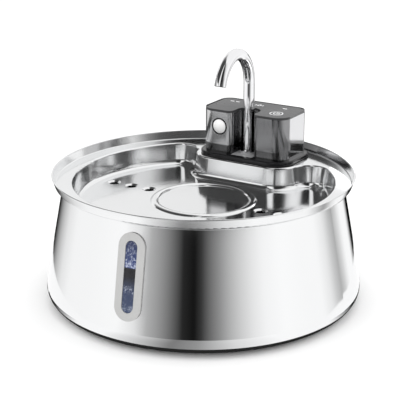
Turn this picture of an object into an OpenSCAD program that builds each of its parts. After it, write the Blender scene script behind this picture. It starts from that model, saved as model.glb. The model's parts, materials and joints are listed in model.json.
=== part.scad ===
// Pet water fountain: a steel bowl with a water window, a drawn steel drinking tray that lifts off
// it, and a battery unit with a gooseneck faucet, a plug-in pump and a hanging filter box.
// The ground is z = 0, the water window looks along -Y and the battery unit stands at +Y.

/* [Bowl] */
// Height of the bowl, from its flat bottom to the top of its lip
bowl_h = 100; // [84:1:130]
// How much wider the wall's line is at the bottom than under the lip
bowl_spread = 18.9; // [8:0.1:28]
// Thickness of the bowl's steel
bowl_wall = 1; // [0.8:0.1:1.6]
// Radius of the bowl's rounded bottom edge
bowl_edge_r = 12.6; // [6:0.2:18]
// Width of the lip that carries the tray
lip_w = 5.2; // [4:0.1:8]
// Thickness of the lip
lip_t = 1.2; // [1:0.1:2]
// Height of the silicone feet
foot_h = 1.5; // [1:0.1:4]
// Radius of a silicone foot
foot_r = 9; // [6:0.5:14]
// Distance of the feet from the bowl's axis
foot_place = 98; // [60:1:105]

/* [Water window] */
// Width of the window's bezel
bezel_w = 22.8; // [20:0.2:32]
// Width of the bezel's rim, all round the lens
bezel_rim = 6.3; // [5.5:0.1:7]
// How far the bezel stands out from the wall
bezel_rise = 1.5; // [1.2:0.1:2.5]
// Clear wall above the bezel
window_top_gap = 8.4; // [6:0.2:20]
// Clear wall under the bezel
window_foot_gap = 24; // [20:0.5:34]
// How far the window sits round the bowl from the front, in degrees
window_turn = 5; // [-15:0.5:15]
// Thickness of the seal between the wall and the clamp
window_seal_t = 2; // [1:0.1:3]
// Thickness of the clamp frame inside the bowl
clamp_t = 3; // [2.4:0.1:4]

/* [Drinking tray] */
// Radius of the tray at the top of its rim
tray_r = 125.1; // [114:0.1:160]
// Thickness of the tray's steel
sheet = 0.8; // [0.6:0.1:1.2]
// Height of the rim above the ledge
rim_h = 7.5; // [4:0.5:16]
// How far the rim leans out over its height
rim_flare = 2.2; // [0:0.1:6]
// Radius of the rim's rolled top edge
hem_r = 0.6; // [0.5:0.05:1.2]
// Radius of the bend between the ledge and the rim
rim_bend_r = 1; // [0.5:0.1:2]
// Width of the flat ledge round the basin
ledge_w = 13.4; // [8:0.2:20]
// Depth of the basin below the ledge
basin_depth = 18.8; // [12:0.2:26]
// How far the basin's wall leans in over its depth
basin_lean = 3; // [1:0.1:6]
// Radius of the bend at the top of the basin's wall
basin_top_r = 1.6; // [1.3:0.1:3]
// Radius of the fillet at the foot of the basin's wall
basin_foot_r = 5; // [3:0.2:7]
// Steel left in front of the battery unit's flange
platform_margin = 4; // [3:0.2:8]
// Radius of the two pockets where the platform runs into the basin's wall
pocket_r = 17; // [12:0.5:20]
// Width of the raised ring in the basin's floor
ring_w = 7; // [5:0.5:10]
// Height of the raised ring
ring_rise = 1.6; // [1:0.1:2.2]
// Gap between the raised ring and the foot of the platform
ring_gap = 1.6; // [1:0.2:12]
// Number of drain holes on each side
drain_count = 3; // [1:1:4]
// Radius of the dish round a drain hole
drain_dish_r = 6; // [4.5:0.1:7]
// Radius of a drain hole
drain_hole_r = 4; // [2:0.1:4.3]
// Depth of the dish round a drain hole
drain_dish_depth = 1.2; // [0.6:0.1:2]

/* [Battery unit] */
// Width of the base flange
flange_w = 91; // [90:1:112]
// Length of the base flange, front to back
flange_l = 57.6; // [57:0.2:72]
// Thickness of the base flange
flange_t = 2.6; // [2.4:0.1:4]
// Corner radius of the base flange
flange_r = 18; // [15:0.5:22]
// Radius of the base flange's rounded top edge
flange_edge_r = 1.2; // [0.6:0.1:2]
// Gap between the flange and the tray's rim
back_gap = 6.9; // [4:0.1:12]
// Thickness of the seal under the flange
gasket_t = 0.8; // [0.5:0.1:2]
// Width of the housing
housing_w = 83; // [82:0.5:90]
// Length of the housing, front to back
housing_l = 44.6; // [44.4:0.2:51]
// Height of the housing above the flange, with its cover
housing_h = 38.3; // [34:0.5:60]
// Distance of the housing's front from the front of the flange
front_step = 5.6; // [3:0.2:8]
// Thickness of the housing's wall
housing_wall = 1.8; // [1.4:0.1:2]
// Thickness of the top cover
cover_t = 2; // [1.5:0.1:3]
// Radius of the lobes' outer front corners
lobe_r = 12; // [8:0.5:12]
// Radius of the lobes' inner front corners
mouth_r = 5; // [2:0.5:6]
// Radius of the housing's back corners
back_r = 9; // [5:0.5:12]
// Width of the channel between the lobes
channel_w = 21; // [16:0.5:22]
// Depth of the channel, front to back
channel_depth = 21.9; // [20:0.1:22.2]
// Width of the opening that the unit hangs through
opening_w = 80; // [78:0.5:80]
// Length of the opening that the unit hangs through
opening_l = 45; // [44:0.5:45]
// Corner radius of the opening
opening_r = 12; // [10:0.5:14]
// Depth of the base's skirt below the ledge
skirt_depth = 6; // [4:0.5:10]
// Thickness of the base's skirt
skirt_wall = 2; // [1.6:0.1:2.2]

/* [Sensor and charging port] */
// Distance of the motion sensor from the middle of the housing
sensor_x = 22.4; // [22:0.1:22.6]
// Depth of the sensor's middle below the housing's top
sensor_drop = 14.8; // [12:0.2:18]
// Radius of the sensor's hole in the housing
sensor_r = 6.9; // [5:0.1:6.9]
// Radius of the curve of the sensor's dome
dome_curve_r = 9.6; // [8:0.1:20]
// Radius of the battery cell
cell_r = 9.1; // [7:0.1:9.2]
// Length of the battery cell
cell_l = 65; // [50:1:65]
// Width of the charging port's mouth
port_w = 9.4; // [9:0.1:10]
// Height of the charging port's mouth
port_h = 4; // [3.8:0.1:4.4]

/* [Faucet] */
// Outer radius of the faucet's tube
tube_r = 4.9; // [4:0.1:5.5]
// Thickness of the tube's wall
tube_wall = 0.9; // [0.6:0.1:1.2]
// Distance of the tube from the housing's front
tube_setback = 12.5; // [12:0.1:14]
// Height of the bend's centre above the housing's top
bend_rise = 24; // [16:0.5:50]
// Radius of the gooseneck bend, at the middle of the tube
bend_r = 30.1; // [22:0.1:42]
// How far the bend turns, in degrees
bend_angle = 162.4; // [120:0.1:180]
// How far the faucet is turned from the middle of the unit, in degrees
faucet_turn = 5.5; // [-180:0.5:180]
// Radius of the shoulder ring at the tube's foot
collar_r = 6.6; // [6:0.1:7.5]
// Height of the shoulder ring
collar_h = 1.4; // [1:0.1:4]

/* [Pump] */
// Radius of the pump's motor
motor_r = 10; // [8.6:0.1:10.2]
// Height of the pump's motor
motor_h = 20; // [16:0.5:22]
// Height of the impeller's chamber
chamber_h = 8.5; // [7:0.5:12]
// Thickness of the pump's wall
pump_wall = 1.7; // [1.2:0.1:2]
// Number of vanes on the impeller
vane_count = 6; // [4:1:9]
// Radius of the impeller's shaft
shaft_r = 1; // [0.8:0.05:1.3]
// Radius of the stem that plugs into the unit
stem_r = 7; // [6:0.1:7.2]
// Bore radius of the outlet
outlet_bore_r = 2.7; // [2:0.1:3]
// Outer radius of the outlet's spigots
spigot_r = 3.9; // [3.6:0.1:4]
// Thickness of the outlet hose's wall
hose_wall = 1.4; // [1:0.1:1.6]

/* [Filter box] */
// Height of the filter box below the skirt
box_h = 50; // [46:1:64]
// Thickness of the box's wall
box_wall = 1.6; // [1.2:0.1:2]
// Thickness of the carbon pad
carbon_t = 6; // [4:0.5:10]
// Thickness of the foam pad
foam_t = 4; // [2:0.5:6]
// Width of a slot in the box
slot_w = 3; // [2:0.25:4]
// Number of slots across the box
slot_count = 9; // [5:1:11]

/* [Fits] */
// Gap where pieces sit loosely in each other
loose = 0.3; // [0.2:0.05:0.6]
// Radial clearance of what turns
running = 0.05; // [0.02:0.01:0.1]

/* [Hidden] */
$fn = 96;
eps = 0.01;

// Heights
bowl_z = foot_h;
lip_z = bowl_z + bowl_h;
ledge_z = lip_z + sheet;
floor_z = ledge_z - basin_depth;
flange_z = ledge_z + gasket_t;
deck_z = flange_z + flange_t;
top_z = deck_z + housing_h;
cover_z = top_z - cover_t;
bend_z = top_z + bend_rise;

// Radii of the tray and the bowl, from the rim inwards
rim_tilt = atan(rim_flare / rim_h);
crease_r = tray_r - hem_r - sheet / 2 * cos(rim_tilt) - rim_flare;
rim_bend_x = crease_r - rim_bend_r * (1 - sin(rim_tilt)) / cos(rim_tilt);
lap = 1;
basin_r = rounded(crease_r - ledge_w);
lip_r = crease_r - 0.7;
neck_r = lip_r - lip_w;
wall_tilt = atan(bowl_spread / bowl_h);

// Places of the battery unit, from the tray's rim forwards
unit_y = crease_r - back_gap - flange_l / 2;
flange_front = unit_y - flange_l / 2;
housing_front = flange_front + front_step;
housing_back = housing_front + housing_l;
tube_y = housing_front + tube_setback;
channel_end_y = housing_front + channel_depth - channel_w / 2;

// The platform's outline: a corner that follows the flange, and a pocket that touches that
// corner and the basin's wall. The two directions in which they meet are kept to a tenth of a
// degree, and the two radii are those that fit them.
platform_front = flange_front - platform_margin;
corner_x = flange_w / 2 - flange_r;
wanted_r = flange_r + platform_margin;
wanted_y = platform_front + wanted_r;
wanted_far = norm([corner_x, wanted_y]);
wanted_pocket = basin_r - pocket_r;
pocket_turn = rounded(atan2(corner_x, wanted_y) + acos(
    (wanted_pocket * wanted_pocket + wanted_far * wanted_far - pow(wanted_r + pocket_r, 2))
    / (2 * wanted_pocket * wanted_far)));
corner_turn = rounded(atan2(wanted_y - wanted_pocket * cos(pocket_turn),
    corner_x - wanted_pocket * sin(pocket_turn)));
turn_x = [cos(corner_turn) - sin(pocket_turn), cos(corner_turn)];
turn_y = [sin(corner_turn) - cos(pocket_turn), sin(corner_turn) - 1];
rest = [corner_x, platform_front] - basin_r * [sin(pocket_turn), cos(pocket_turn)];
turn_area = cross(turn_x, turn_y);
pocket_fit_r = (rest[0] * turn_y[1] - turn_x[1] * rest[1]) / turn_area;
corner_r = (turn_x[0] * rest[1] - turn_y[0] * rest[0]) / turn_area;
pocket_at = (basin_r - pocket_fit_r) * [sin(pocket_turn), cos(pocket_turn)];
corner_at = [corner_x, platform_front + corner_r];

// The bends of the basin's wall: u runs into the basin, v up from the ledge
lean_angle = atan(basin_lean / basin_depth);
top_bend_v = -basin_top_r;
top_lap = basin_top_r + 0.5;
foot_lap = 1;
top_bend_u = basin_top_r * (1 - sin(lean_angle)) / cos(lean_angle) * sin(lean_angle)
    - basin_top_r * cos(lean_angle);
foot_bend_v = basin_foot_r - basin_depth;
foot_bend_u = (basin_depth - basin_foot_r * (1 - sin(lean_angle))) * tan(lean_angle)
    + basin_foot_r * cos(lean_angle);

// The raised ring in the basin's floor
ring_r = platform_front - foot_bend_u - ring_gap;
ring_mid_r = ring_r - ring_w / 2;
ring_curve_r = (ring_w * ring_w / 4 + ring_rise * ring_rise) / (2 * ring_rise);
disc_r = ring_r + ring_gap / 2;

// Drain holes, spread over the floor between the ring and the wall
drain_first = ring_r + drain_dish_r + 4;
drain_last = basin_r - foot_bend_u - drain_dish_r - 4;
drain_pitch = (drain_last - drain_first) / max(drain_count - 1, 1);

// The water window, measured along the slope of the wall
window_z = (window_foot_gap + bowl_h - window_top_gap) / 2;
bezel_l = (bowl_h - window_top_gap - window_foot_gap) / cos(wall_tilt);
lens_w = bezel_w - 2 * bezel_rim;
lens_l = bezel_l - 2 * bezel_rim;
window_neck = 2;
lens_flange = 3.2;
lens_flange_t = 1.2;
lens_sink = 0.6;
window_screw_r = 0.9;
window_screw_x = lens_w / 2 + bezel_rim / 2 + 1.6;
window_screw_y = lens_l / 4;

// The base, the housing and what they hold
skirt_w = opening_w - 2 * loose;
skirt_l = opening_l - 2 * loose;
skirt_r = opening_r - loose;
skirt_z = ledge_z - skirt_depth;
socket_r = tube_r + 3.1;
// The socket hangs just inside the filter box's front, so it sets where the opening is
socket_gap = 0.5;
opening_y = tube_y - socket_r - socket_gap - box_wall - skirt_wall - 2 * loose + opening_l / 2;
socket_rise = 1.2;
socket_depth = 11;
socket_z = flange_z - socket_depth;
socket_floor = 1.4;
nipple_l = 7;
nipple_z = socket_z - nipple_l;
seal_ring_r = 0.9;
groove_h = 2 * seal_ring_r + 0.2;
stem_seal_r = 0.8;
screw_r = 1.3;
boss_r = 3.2;
boss_h = 14;
rib_t = 1.2;
screw_places = [[32, housing_front + 11.6], [16.5, tube_y + 5.5]];
cell_y = (channel_end_y + channel_w / 2 + housing_back) / 2;
cell_gap = 2;
cell_z = deck_z + cell_gap + cell_r;
board_t = 1.6;
board_w = 73;
board_l = 16;
board_z = cell_z + cell_r + 1.5;
post_x = 35;
post_r = 2;
sensor_z = top_z - sensor_drop;
dome_r = sensor_r - 0.6;
usb_w = 8.9;
usb_l = 7;
usb_h = 3.2;
port_z = board_z + board_t + usb_h / 2;
usb_cover_t = 1.2;
usb_hinge_z = port_z + 4;
usb_hinge_y = housing_back + loose + usb_cover_t / 2;

// The pump, from the filter box's floor upwards
box_z = skirt_z - box_h;
box_floor = 1.8;
pump_z = box_z + box_floor + carbon_t + foam_t + 0.4;
pump_cover_t = 3;
chamber_z = pump_z + pump_cover_t;
motor_z = chamber_z + chamber_h;
motor_top = motor_z + motor_h;
hose_r = spigot_r + running + hose_wall;
pump_y = tube_y + hose_r + motor_r + 0.3;
chamber_r = motor_r + 0.4;
spigot_top = nipple_z - 2;
hose_z = spigot_top - 7;
stem_top = flange_z - 1;
stem_boss_z = flange_z - 9;
rotor_r = 5;
rotor_h = motor_h - 4;
impeller_r = chamber_r - pump_wall - 0.8;
vane_h = chamber_h - pump_wall - 2.6;

function rounded(x) = round(10 * x) / 10;

// Moves in three steps, the whole millimetres first, so that no digits are lost
module shift(v) {
    whole = [for (x = v) round(x)];
    part = [for (x = v - whole) round(1000 * x) / 1000];
    translate(whole) translate(part) translate(v - whole - part) children();
}

// ---- Plane shapes ----

// Rectangle with round corners
module plate(w, l, r) {
    square([w - 2 * r, l], center = true);
    square([w, l - 2 * r], center = true);
    for (x = [-1, 1], y = [-1, 1]) translate([x * (w / 2 - r), y * (l / 2 - r)]) circle(r);
}

// Slot with round ends, standing along Y
module stadium(w, l) {
    square([w, l - w], center = true);
    for (y = [-1, 1]) translate([0, y * (l - w) / 2]) circle(w / 2);
}

// Part of a ring, between two angles less than half a turn apart
module ring_part(inner, outer, from, to) {
    reach = 2 * outer;
    intersection() {
        difference() {
            circle(outer);
            circle(inner);
        }
        polygon([
            [0, 0], reach * [cos(from), sin(from)],
            reach * [cos((from + to) / 2), sin((from + to) / 2)], reach * [cos(to), sin(to)]
        ]);
    }
}

// Strip of sheet steel whose top face runs from one point to another
module strip(from, to, t) {
    along = (to - from) / norm(to - from);
    under = t * [along[1], -along[0]];
    polygon([from, to, to + under, from + under]);
}

// ---- Bowl ----

// Outer radius of the wall's line at a height above the bowl's bottom
function wall_r(z) = neck_r + bowl_spread * (1 - z / bowl_h);

// Half of the bowl's section, set in from its outer face
module bowl_section(inset) {
    r = bowl_edge_r - inset;
    edge_x = wall_r(0) - bowl_edge_r * (1 / cos(wall_tilt) + tan(wall_tilt));
    polygon([
        [0, inset], [edge_x, inset], [edge_x, bowl_edge_r],
        [edge_x + r * cos(wall_tilt), bowl_edge_r + r * sin(wall_tilt)],
        [wall_r(bowl_h) - inset / cos(wall_tilt), bowl_h], [0, bowl_h]
    ]);
    translate([edge_x, bowl_edge_r]) intersection() {
        circle(r);
        polygon([[0, 0], [0, -2 * r], [2 * r, -2 * r], [2 * r, 2 * r * tan(wall_tilt)]]);
    }
}

module bowl_lip() {
    difference() {
        union() {
            translate([0, bowl_h - lip_t]) square([lip_r - lip_t / 2, lip_t]);
            translate([lip_r - lip_t / 2, bowl_h - lip_t / 2]) circle(lip_t / 2);
        }
        square([neck_r - bowl_wall / 2, 2 * bowl_h]);
    }
}

module reservoir_bowl() {
    color("silver") difference() {
        translate([0, 0, bowl_z]) rotate_extrude() {
            difference() {
                bowl_section(0);
                bowl_section(bowl_wall);
            }
            bowl_lip();
        }
        at_window() {
            window_prism() stadium(lens_w + 2 * window_neck + loose, lens_l + 2 * window_neck + loose);
            window_screw_holes(window_screw_r + loose / 2);
        }
    }
}

module foot_pads() {
    color("dimgray") for (a = [45 : 90 : 315]) rotate(a) translate([foot_place, 0, 0]) {
        cylinder(r1 = foot_r - 0.5, r2 = foot_r, h = 0.5);
        translate([0, 0, 0.5]) cylinder(r = foot_r, h = foot_h - 0.5);
    }
}

// ---- Water window ----

// Puts a shape on the wall: X across, Y up the slope, Z outwards
module at_window() {
    rotate(window_turn)
        translate([0, -wall_r(window_z), bowl_z + window_z])
            rotate([90 - wall_tilt, 0, 0])
                children();
}

module window_prism() {
    translate([0, 0, -12]) linear_extrude(24) children();
}

// Layer of the cone between two distances from the wall's outer face
module wall_layer(inner, outer) {
    in_x = inner / cos(wall_tilt);
    out_x = outer / cos(wall_tilt);
    translate([0, 0, bowl_z]) rotate_extrude() polygon([
        [wall_r(0) + in_x, 0], [wall_r(0) + out_x, 0],
        [wall_r(bowl_h) + out_x, bowl_h], [wall_r(bowl_h) + in_x, bowl_h]
    ]);
}

// Piece of such a layer with the plan given as a child
module window_piece(inner, outer) {
    intersection() {
        wall_layer(inner, outer);
        at_window() window_prism() children();
    }
}

module window_screw_holes(r, from = -12, to = 12) {
    for (x = [-1, 1], y = [-1, 1])
        translate([x * window_screw_x, y * window_screw_y, from]) cylinder(r = r, h = to - from);
}

module window_bezel() {
    color("gainsboro") difference() {
        union() {
            window_piece(0, bezel_rise) stadium(bezel_w, bezel_l);
            window_piece(-bowl_wall - window_seal_t, eps)
                stadium(lens_w + 2 * window_neck, lens_l + 2 * window_neck);
        }
        at_window() {
            window_prism() stadium(lens_w, lens_l);
            window_screw_holes(window_screw_r, -0.5, bezel_rise - 0.6);
        }
    }
}

module window_lens() {
    back = -bowl_wall - window_seal_t;
    color("royalblue") {
        window_piece(back - eps, bezel_rise - lens_sink) stadium(lens_w - 0.2, lens_l - 0.2);
        window_piece(back - lens_flange_t, back)
            stadium(lens_w + lens_flange, lens_l + lens_flange);
    }
}

module window_seal() {
    color("whitesmoke") difference() {
        window_piece(-bowl_wall - window_seal_t, -bowl_wall) stadium(bezel_w, bezel_l);
        at_window() {
            window_prism() stadium(lens_w + 2 * window_neck + 0.2, lens_l + 2 * window_neck + 0.2);
            window_screw_holes(window_screw_r + loose / 2);
        }
    }
}

module window_clamp() {
    back = -bowl_wall - window_seal_t;
    color("gainsboro") difference() {
        window_piece(back - clamp_t, back) stadium(bezel_w, bezel_l);
        window_piece(back - lens_flange_t, back + 1)
            stadium(lens_w + lens_flange + 0.2, lens_l + lens_flange + 0.2);
        at_window() {
            window_prism() stadium(lens_w, lens_l);
            window_screw_holes(window_screw_r + loose / 2);
        }
    }
}

module window_screws() {
    head_z = -bowl_wall - window_seal_t - clamp_t - 0.65;
    color("silver") at_window() {
        window_screw_holes(window_screw_r - running, head_z, bezel_rise - 0.7);
        window_screw_holes(window_screw_r + 0.7, head_z - 1.1, head_z);
    }
}

// ---- Drinking tray ----

// What lies under a face of the basin's wall: t = 0 for the water side, sheet for the underside
module under_wall(t, margin) {
    wall_dir = [cos(lean_angle), sin(lean_angle)];
    top_bend = [top_bend_u, top_bend_v];
    foot_bend = [foot_bend_u, foot_bend_v];
    left = top_bend_u - top_lap - margin;
    right = foot_bend_u + foot_lap + margin;
    low = -basin_depth - 2 * sheet - margin;
    difference() {
        union() {
            polygon([
                [left, -t], [top_bend_u, -t], top_bend, top_bend + (basin_top_r - t) * wall_dir,
                foot_bend - (basin_foot_r + t) * wall_dir, foot_bend,
                [foot_bend_u, -basin_depth - t], [right, -basin_depth - t],
                [right, low], [left, low]
            ]);
            translate(top_bend) circle(basin_top_r - t);
        }
        translate(foot_bend) circle(basin_foot_r + t);
    }
}

// Section of the basin's wall with both of its bends, and a short flat before and after them
module basin_section() {
    difference() {
        under_wall(0, 0);
        under_wall(sheet, 1);
    }
}

// The basin's floor plan, a distance u in from where its wall would meet the ledge
module basin_plan(u) {
    far = 1.3 * basin_r;
    difference() {
        circle(basin_r - u);
        difference() {
            polygon([
                corner_at, pocket_at, far * [sin(pocket_turn), cos(pocket_turn)], [0, 2 * far],
                far * [-sin(pocket_turn), cos(pocket_turn)],
                [-pocket_at[0], pocket_at[1]], [-corner_at[0], corner_at[1]]
            ]);
            for (x = [-1, 1]) translate([x * pocket_at[0], pocket_at[1]]) circle(pocket_fit_r - u);
        }
        for (x = [-1, 1]) translate([x * corner_at[0], corner_at[1]]) circle(corner_r + u);
        translate([-corner_x, platform_front - u]) square([2 * corner_x, corner_r + u]);
    }
}

// The wall, swept along the basin's outline: its big arc, the pockets, the platform's corners
// and the platform's straight front
module basin_wall() {
    for (side = [0, 1]) mirror([side, 0, 0]) {
        rotate([0, 0, -90]) rotate_extrude(angle = 180 - pocket_turn)
            translate([basin_r, 0]) mirror([1, 0]) basin_section();
        shift([pocket_at[0], pocket_at[1], 0]) rotate([0, 0, 90])
            for (a = [-pocket_turn, corner_turn - 90])
                rotate_extrude(angle = a) shift([pocket_fit_r, 0]) mirror([1, 0]) basin_section();
        shift([corner_at[0], corner_at[1], 0]) rotate([0, 0, -90])
            rotate_extrude(angle = corner_turn - 90) shift([corner_r, 0]) basin_section();
    }
    shift([-corner_x, platform_front, 0]) rotate([90, 0, 90])
        linear_extrude(2 * corner_x) mirror([1, 0]) basin_section();
}

// Places of the drain holes, in a line across the tray
module at_drains() {
    for (side = [-1, 1], i = [0 : drain_count - 1])
        translate([side * (drain_first + i * drain_pitch), 0, 0]) children();
}

// The floor, with a raised ring of arched section and dished drain holes
module basin_floor() {
    ring_curve_z = ring_rise - ring_curve_r;
    difference() {
        translate([0, 0, -sheet]) linear_extrude(sheet) basin_plan(foot_bend_u + foot_lap / 2);
        cylinder(r = disc_r, h = 4 * sheet, center = true);
        at_drains() cylinder(r = drain_dish_r, h = 4 * sheet, center = true);
    }
    rotate_extrude() difference() {
        union() {
            translate([0, -sheet]) square([disc_r, sheet]);
            translate([ring_mid_r, ring_curve_z]) intersection() {
                circle(ring_curve_r);
                translate([-ring_w, -ring_curve_z - sheet]) square([2 * ring_w, 2 * ring_w]);
            }
        }
        translate([ring_mid_r, ring_curve_z]) circle(ring_curve_r - sheet);
    }
    at_drains() rotate_extrude() polygon([
        [drain_dish_r, 0], [drain_hole_r, -drain_dish_depth],
        [drain_hole_r, -drain_dish_depth - sheet], [drain_dish_r, -sheet]
    ]);
}

// The rim: a bend up from the ledge, a flared band and a rolled edge
module tray_rim() {
    flare = [cos(rim_tilt), -sin(rim_tilt)];
    bend = [rim_bend_x, rim_bend_r];
    rim_top = [crease_r + rim_flare, rim_h - hem_r];
    rotate_extrude() {
        translate(bend) {
            ring_part(rim_bend_r, rim_bend_r + sheet, 270, 360 - rim_tilt);
            translate([-lap, -rim_bend_r - sheet]) square([lap, sheet]);
        }
        strip(rim_top, bend + rim_bend_r * flare, -sheet);
        translate(rim_top + sheet / 2 * flare) circle(hem_r);
    }
}

module ledge_plan() {
    difference() {
        circle(rim_bend_x - lap / 2);
        basin_plan(top_bend_u - top_lap / 2);
        translate([0, opening_y]) plate(opening_w, opening_l, opening_r);
    }
}

module drinking_tray() {
    color("silver") {
        translate([0, 0, ledge_z]) {
            tray_rim();
            translate([0, 0, -sheet]) linear_extrude(sheet) ledge_plan();
            basin_wall();
        }
        translate([0, 0, floor_z]) basin_floor();
    }
}

// ---- Battery unit: base and housing ----

// The housing's plan with its channel, set in from the outer face
module housing_plan(inset) {
    half = channel_w / 2 + inset;
    front = inset;
    mouth = mouth_r - inset;
    outer = lobe_r - inset;
    back = back_r - inset;
    w = housing_w / 2 - inset;
    translate([0, housing_front]) difference() {
        union() {
            translate([-w, front + outer]) square([2 * w, housing_l - inset - back - front - outer]);
            translate([outer - w, front]) square([2 * (w - outer), housing_l - inset - front]);
            translate([back - w, front + outer])
                square([2 * (w - back), housing_l - inset - front - outer]);
            for (x = [-1, 1]) {
                translate([x * (w - outer), front + outer]) circle(outer);
                translate([x * (w - back), housing_l - inset - back]) circle(back);
            }
        }
        translate([0, channel_depth - channel_w / 2]) circle(half);
        translate([-half, -1]) square([2 * half, 1 + channel_depth - channel_w / 2]);
        for (x = [-1, 1]) difference() {
            translate([x * (half + mouth / 2), mouth / 2 + front - 1])
                square([mouth, mouth + 2], center = true);
            translate([x * (half + mouth), front + mouth]) circle(mouth);
            translate([x * (half + mouth), front + mouth + mouth]) square(2 * mouth, center = true);
        }
    }
}

// Sweeps a section round a rectangle with round corners: X outwards from the outline, Y up
module around(w, l, r) {
    for (a = [0, 90, 180, 270]) {
        long = a % 180 == 0 ? l : w;
        wide = a % 180 == 0 ? w : l;
        rotate([0, 0, a]) {
            translate([wide / 2 - r, long / 2 - r, 0])
                rotate_extrude(angle = 90) translate([r, 0]) children();
            translate([wide / 2, long / 2 - r, 0]) rotate([90, 0, 0])
                linear_extrude(long - 2 * r) children();
        }
    }
}

module flange() {
    e = flange_edge_r;
    translate([0, unit_y, flange_z]) {
        linear_extrude(flange_t) plate(flange_w - 2 * e, flange_l - 2 * e, flange_r - e);
        around(flange_w, flange_l, flange_r) {
            translate([-e, 0]) square([e, flange_t - e]);
            translate([-e, flange_t - e]) intersection() {
                circle(e);
                square(2 * e);
            }
        }
    }
}

module at_screws() {
    for (x = [-1, 1], p = screw_places) translate([x * p[0], p[1], 0]) children();
}

module unit_base() {
    color([0.09, 0.09, 0.1]) difference() {
        union() {
            flange();
            translate([0, opening_y, skirt_z]) linear_extrude(flange_z - skirt_z) difference() {
                plate(skirt_w, skirt_l, skirt_r);
                plate(skirt_w - 2 * skirt_wall, skirt_l - 2 * skirt_wall, skirt_r - skirt_wall);
            }
            translate([0, tube_y, socket_z]) cylinder(r = socket_r, h = deck_z - socket_z);
            translate([0, tube_y, flange_z])
                cylinder(r = collar_r + 0.6, h = flange_t + socket_rise);
            translate([0, tube_y, nipple_z]) cylinder(r = spigot_r, h = nipple_l + 1);
            translate([0, pump_y, stem_boss_z])
                cylinder(r = stem_r + 2, h = flange_z - stem_boss_z + 1);
            for (x = [-1, 1]) translate([x * post_x, cell_y, deck_z - 1])
                cylinder(r = post_r, h = board_z - deck_z + 1);
        }
        translate([0, tube_y, socket_z + socket_floor])
            cylinder(r = tube_r + running, h = socket_depth + flange_t + socket_rise);
        translate([0, tube_y, nipple_z - 1]) cylinder(r = outlet_bore_r, h = nipple_l + 4);
        for (z = seal_heights()) translate([0, tube_y, z]) rotate_extrude()
            translate([tube_r, -groove_h / 2]) square([groove_h, groove_h]);
        translate([0, pump_y, stem_boss_z - 1])
            cylinder(r = stem_r + running, h = stem_top - stem_boss_z + 1 + eps);
        at_contacts() translate([0, 0, stem_top - 1]) cylinder(r = 0.8, h = 9);
        at_screws() {
            translate([0, 0, flange_z - 1]) cylinder(r = screw_r + 0.2, h = 2 * flange_t);
        }
    }
}

module base_gasket() {
    color([0.16, 0.16, 0.17]) translate([0, 0, ledge_z]) linear_extrude(gasket_t) difference() {
        translate([0, unit_y]) plate(flange_w - 1, flange_l - 1, flange_r - 0.5);
        translate([0, opening_y]) plate(skirt_w + 2 * loose, skirt_l + 2 * loose, skirt_r + loose);
    }
}

module at_sensor() {
    translate([-sensor_x, housing_front, sensor_z]) rotate([90, 0, 0]) children();
}

// Ribs that tie the screw bosses to the front wall and to the channel's wall
module boss_ribs() {
    front = housing_front + housing_wall / 2;
    past_end = screw_places[1][1] - channel_end_y;
    start = sqrt(max(pow((channel_w + housing_wall) / 2, 2) - past_end * past_end, 0));
    for (side = [0, 1]) mirror([side, 0, 0]) {
        translate([screw_places[0][0] - rib_t / 2, front, deck_z])
            cube([rib_t, screw_places[0][1] - front, boss_h]);
        translate([start, screw_places[1][1] - rib_t / 2, deck_z])
            cube([screw_places[1][0] - start, rib_t, boss_h]);
    }
}

module housing_shell() {
    color([0.13, 0.13, 0.14]) difference() {
        union() {
            translate([0, 0, deck_z]) linear_extrude(cover_z - deck_z) difference() {
                housing_plan(0);
                housing_plan(housing_wall);
            }
            at_screws() translate([0, 0, deck_z]) cylinder(r = boss_r, h = boss_h);
            boss_ribs();
        }
        at_screws() translate([0, 0, deck_z - 1]) cylinder(r = screw_r, h = boss_h - 1);
        at_sensor() cylinder(r = sensor_r, h = 4 * housing_wall, center = true);
        translate([0, housing_back, port_z]) rotate([90, 0, 0])
            linear_extrude(4 * housing_wall, center = true) rotate(90) stadium(port_h, port_w);
    }
}

module top_cover() {
    color([0.42, 0.42, 0.43]) {
        translate([0, 0, cover_z]) linear_extrude(cover_t) housing_plan(0.15);
        translate([0, 0, cover_z - 2.4]) linear_extrude(2.4) difference() {
            housing_plan(housing_wall + 0.15);
            housing_plan(housing_wall + 1.35);
        }
    }
}

module base_screws() {
    color("silver") at_screws() {
        translate([0, 0, flange_z]) cylinder(r = screw_r - running, h = flange_t + boss_h - 3);
        translate([0, 0, flange_z - 1.8]) cylinder(r = 2.4, h = 1.8);
    }
}

// ---- Battery unit: sensor, boards and battery ----

// A shallow dome on a stepped disc that clips in from behind the wall
module sensor_dome() {
    dome_h = dome_curve_r - sqrt(dome_curve_r * dome_curve_r - dome_r * dome_r);
    color("white") at_sensor() {
        translate([0, 0, -housing_wall]) cylinder(r = dome_r, h = housing_wall);
        translate([0, 0, -housing_wall - 1]) cylinder(r = sensor_r + 0.7, h = 1);
        intersection() {
            translate([0, 0, dome_h - dome_curve_r]) sphere(dome_curve_r);
            cylinder(r = dome_r, h = 2 * dome_h);
        }
    }
}

// Metal can of the motion sensor on its small board
module motion_sensor() {
    can_h = 3.4;
    can_z = -housing_wall - 1.4 - can_h;
    color("goldenrod") at_sensor() {
        translate([0, 0, can_z]) cylinder(r = 4.6, h = can_h);
        translate([0, 0, can_z]) cylinder(r = 5.1, h = 0.6);
    }
    color("darkgreen") at_sensor() translate([-9, -8, can_z - 1.4]) cube([18, 16, 1.4]);
}

module touch_board() {
    key = [26, housing_front + 14.4, cover_z - 1.2];
    color("darkgreen") translate(key) linear_extrude(1.2) plate(19, 17, 1.5);
    color("gold") translate(key - [0, 0, 0.4]) cylinder(r = 6, h = 0.4);
}

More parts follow.
